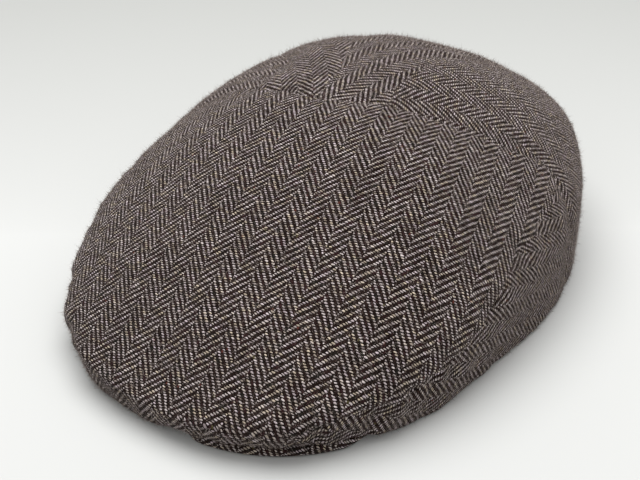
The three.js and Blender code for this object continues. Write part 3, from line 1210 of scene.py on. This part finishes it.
class CAP_OT_back_panels(Operator):
    """Builds the four wedges at the back of the crown"""

    bl_idname = "cap.back_panels"
    bl_label = "Back Panels"

    def execute(self, context):
        nets = {
            "back_panel_left_outer": outer_back_net("left"),
            "back_panel_left_inner": inner_back_net("left_inner", "inner_left", "middle"),
            "back_panel_right_inner": inner_back_net("right_inner", "middle", "inner_right"),
            "back_panel_right_outer": outer_back_net("right"),
        }
        for name, chart in nets.items():
            cloth_panel(name, chart)
        return {"FINISHED"}


class CAP_OT_nap(Operator):
    """Grows the loose wool fibres on the crown"""

    bl_idname = "cap.nap"
    bl_label = "Nap"

    def execute(self, context):
        nap_piece("nap_fibres_front", OUTER_FACES[:FRONT_PANELS])
        nap_piece("nap_fibres_back", OUTER_FACES[FRONT_PANELS:])
        return {"FINISHED"}


class CAP_OT_peak(Operator):
    """Builds the covered peak"""

    bl_idname = "cap.peak"
    bl_label = "Peak"

    def execute(self, context):
        peak_piece()
        return {"FINISHED"}


class CAP_OT_studio(Operator):
    """Lays the paper, hangs the lights and sets the camera"""

    bl_idname = "cap.studio"
    bl_label = "Studio"

    def execute(self, context):
        lay_paper()
        hang_lights()
        set_camera()
        return {"FINISHED"}


def peak_section(angle):
    """Radius and height along the peak's outline at one bearing, from its top inner edge."""
    top = CREASE_Z - PEAK_CLEARANCE
    hidden = smoothstep(turn_from_strip(angle), PEAK_SHOWS_TO, PEAK_HIDES_FROM)
    shown_r = bulge_radius(angle) - STRIP_INSET
    outer = shown_r + (edge_radius(angle) - HIDDEN_INSET - shown_r) * hidden
    inner = oval_radius(angle, HEAD_HALF_WIDTH, HEAD_HALF_LENGTH, RIM_SQUARENESS)
    half = top / 2
    reach = min(PEAK_EDGE_ROUND, half)
    turn = np.linspace(math.pi / 2, -math.pi / 2, PEAK_EDGE_STEPS + 1)
    edge_r = outer - reach + reach * np.abs(np.cos(turn)) ** PEAK_EDGE_POWER
    edge_z = half + half * np.sign(np.sin(turn)) * np.abs(np.sin(turn)) ** PEAK_EDGE_POWER
    flat_r = inner + (outer - reach - inner) * np.linspace(0, 1, PEAK_FLAT_STEPS + 1)[:-1]
    r = np.concatenate([flat_r, edge_r, flat_r[::-1]])
    z = np.concatenate([np.full_like(flat_r, top), edge_z, np.zeros_like(flat_r)])
    return r, z


def peak_piece():
    """The stiff crescent, whose cloth is laid flat by its distance round the section."""
    turns = np.linspace(-PEAK_HALF_ANGLE, PEAK_HALF_ANGLE, PEAK_STEPS + 1)
    angles = np.radians(FRONT_BEARING + turns)[:, None]
    r, z = np.moveaxis(np.array([peak_section(angle) for angle in angles[:, 0]]), 1, 0)
    points = np.stack([r * np.cos(angles), r * np.sin(angles) + MIDDLE_Y, z], axis=-1)
    reach = np.cumsum(np.hypot(np.diff(r, axis=1), np.diff(z, axis=1)), axis=1)
    reach = np.hstack([np.zeros((len(r), 1)), reach]) + r[:, :1]
    flat = np.stack([reach * np.cos(angles), reach * np.sin(angles)], axis=-1)
    rows, columns = r.shape
    corner = np.arange(rows * columns).reshape(rows, columns)
    after = np.roll(corner, -1, axis=1)
    faces = np.stack([corner[:-1], corner[1:], after[1:], after[:-1]], axis=-1).reshape(-1, 4)
    ends = [corner[0].tolist(), corner[-1][::-1].tolist()]
    piece = mesh_object("peak_cloth", points, faces.tolist() + ends)
    bpy.ops.object.mode_set(mode="EDIT")
    bpy.ops.mesh.select_all(action="SELECT")
    bpy.ops.mesh.normals_make_consistent(inside=False)
    bpy.ops.object.mode_set(mode="OBJECT")
    write_map(piece, "weave", flat)
    bpy.ops.object.shade_smooth_by_angle(angle=SMOOTH_BELOW)
    piece.data.materials.append(tweed_material())
    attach(piece, "root")
    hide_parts("peak")


def scattered(points, normals, count, chance):
    """Random places spread evenly over a net, and its normals there."""
    edge_u = points[:-1, 1:] - points[:-1, :-1]
    edge_v = points[1:, :-1] - points[:-1, :-1]
    area = np.linalg.norm(np.cross(edge_u, edge_v), axis=-1).ravel()
    cell = chance.choice(len(area), size=count, p=area / area.sum())
    j, i = np.divmod(cell, points.shape[1] - 1)
    a, b = chance.random((2, count, 1))
    return points[j, i] + edge_u[j, i] * a + edge_v[j, i] * b, normals[j, i]


def turned_sideways(direction, chance):
    """A random unit vector square to each direction."""
    side = np.cross(direction, chance.normal(size=direction.shape))
    return side / np.linalg.norm(side, axis=-1, keepdims=True)


def nap_piece(name, faces_below):
    """Fine curved fibres that stand off some panels, as one mesh of narrow tapering strips."""
    nap = bpy.context.scene.cap_nap
    chance = np.random.default_rng(nap.seed)
    areas = np.array([cloth_area(points) for points, _ in faces_below])
    counts = (nap.fibres * areas / areas.sum()).astype(int)
    found = [scattered(*face, count, chance) for face, count in zip(faces_below, counts)]
    root, normal = (np.vstack(parts) for parts in zip(*found))
    count = len(root)
    lift = chance.uniform(nap.lowest_lift, 1.0, (count, 1))
    lean = turned_sideways(normal, chance)
    aim = normal * lift + lean * np.sqrt(1 - lift**2)
    bend = turned_sideways(aim, chance) * chance.uniform(LEAST_BEND, nap.bend, (count, 1))
    length = nap.shortest + chance.exponential(nap.length, (count, 1))
    length = np.minimum(length, nap.longest)
    flank = turned_sideways(aim, chance) * nap.width / 2
    rows = []
    for share in FIBRE_ROWS:
        middle = root + (aim * share + bend * share**2) * length
        rows += [middle - flank * (1 - share), middle + flank * (1 - share)]
    tip = root + (aim + bend) * length
    strip = np.stack([*rows, tip], axis=1)
    # No fibre goes under the table. A strip has two corners at each row and one at its tip.
    strip[..., 2] = np.maximum(strip[..., 2], nap.width)
    first = np.arange(count)[:, None] * strip.shape[1]
    quads = first + np.array([0, 1, 3, 2])
    tips = first + np.array([2, 3, 4])
    piece = mesh_object(name, strip, quads.tolist() + tips.tolist())
    shares = [*np.repeat(FIBRE_ROWS, 2), 1.0]
    tone = np.repeat(chance.random(count), len(shares))
    strand = np.stack([tone, np.tile(shares, count)], axis=-1)
    write_map(piece, "strand", strand)
    piece.data.materials.append(fibre_material())
    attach(piece, "root")


def lay_paper():
    clear_selection()
    bpy.ops.mesh.primitive_plane_add(size=PAPER_SIZE, location=(0, 0, PAPER_Z))
    paper = bpy.context.object
    paper.name = "studio_paper"
    paper.data.materials.append(paper_material())


def hang_lights():
    """One wide window light, and a white room round it."""
    studio = bpy.context.scene.cap_studio
    world = bpy.data.worlds.new("studio_room")
    bpy.context.scene.world = world
    world.use_nodes = True
    background = world.node_tree.nodes["Background"]
    background.inputs["Color"].default_value = (1.0, 1.0, 1.0, 1.0)
    background.inputs["Strength"].default_value = studio.fill_strength
    light = bpy.data.lights.new("window", "AREA")
    light.shape = "DISK"
    light.size = WINDOW_SIZE
    light.energy = studio.key_power
    window = bpy.data.objects.new("window", light)
    bpy.context.collection.objects.link(window)
    window.location = WINDOW_PLACE
    aim = Vector(WINDOW_AIM) - Vector(WINDOW_PLACE)
    window.rotation_euler = aim.to_track_quat("-Z", "Y").to_euler()


def set_camera():
    """The camera from which the photo was taken."""
    studio = bpy.context.scene.cap_studio
    az, el, roll = studio.azimuth, studio.elevation, studio.roll
    back = Vector((math.sin(az) * math.cos(el), -math.cos(az) * math.cos(el), math.sin(el)))
    level = Vector((math.cos(az), math.sin(az), 0))
    upright = back.cross(level)
    right = level * math.cos(roll) + upright * math.sin(roll)
    up = upright * math.cos(roll) - level * math.sin(roll)
    data = bpy.data.cameras.new("camera")
    data.lens = studio.lens
    camera = bpy.data.objects.new("camera", data)
    bpy.context.collection.objects.link(camera)
    turned = Matrix((right, up, back)).transposed().to_4x4()
    camera.matrix_world = Matrix.Translation(studio.eye) @ turned
    bpy.context.scene.camera = camera
    bpy.context.scene.view_settings.view_transform = "Standard"


class CAP_PT_flat_cap(Panel):
    """Lists the cap's settings and pieces"""

    bl_label = "Flat Cap"
    bl_idname = "CAP_PT_flat_cap"
    bl_space_type = "VIEW_3D"
    bl_region_type = "UI"
    bl_category = "Flat Cap"

    def draw(self, context):
        layout = self.layout
        for group in SETTINGS:
            settings = getattr(context.scene, group)
            box = layout.box()
            for name in settings.bl_rna.properties.keys():
                if name not in ("rna_type", "name"):
                    box.prop(settings, name)
        for operator in OPERATORS:
            layout.operator(operator.bl_idname)


SETTINGS = {
    "cap_cloth": CapClothSettings,
    "cap_seams": CapSeamSettings,
    "cap_nap": CapNapSettings,
    "cap_studio": CapStudioSettings,
}
OPERATORS = (
    CAP_OT_front_panel,
    CAP_OT_side_panels,
    CAP_OT_back_panels,
    CAP_OT_peak,
    CAP_OT_nap,
    CAP_OT_studio,
)


def register():
    for name, group in SETTINGS.items():
        bpy.utils.register_class(group)
        setattr(bpy.types.Scene, name, PointerProperty(type=group))
    for operator in OPERATORS:
        bpy.utils.register_class(operator)
    bpy.utils.register_class(CAP_PT_flat_cap)


def unregister():
    bpy.utils.unregister_class(CAP_PT_flat_cap)
    for operator in reversed(OPERATORS):
        bpy.utils.unregister_class(operator)
    for name, group in SETTINGS.items():
        delattr(bpy.types.Scene, name)
        bpy.utils.unregister_class(group)


def main():
    register()
    bpy.ops.cap.front_panel()
    bpy.ops.cap.side_panels()
    bpy.ops.cap.back_panels()
    bpy.ops.cap.peak()
    bpy.ops.cap.nap()
    bpy.ops.cap.studio()


if __name__ == "__main__":
    main()
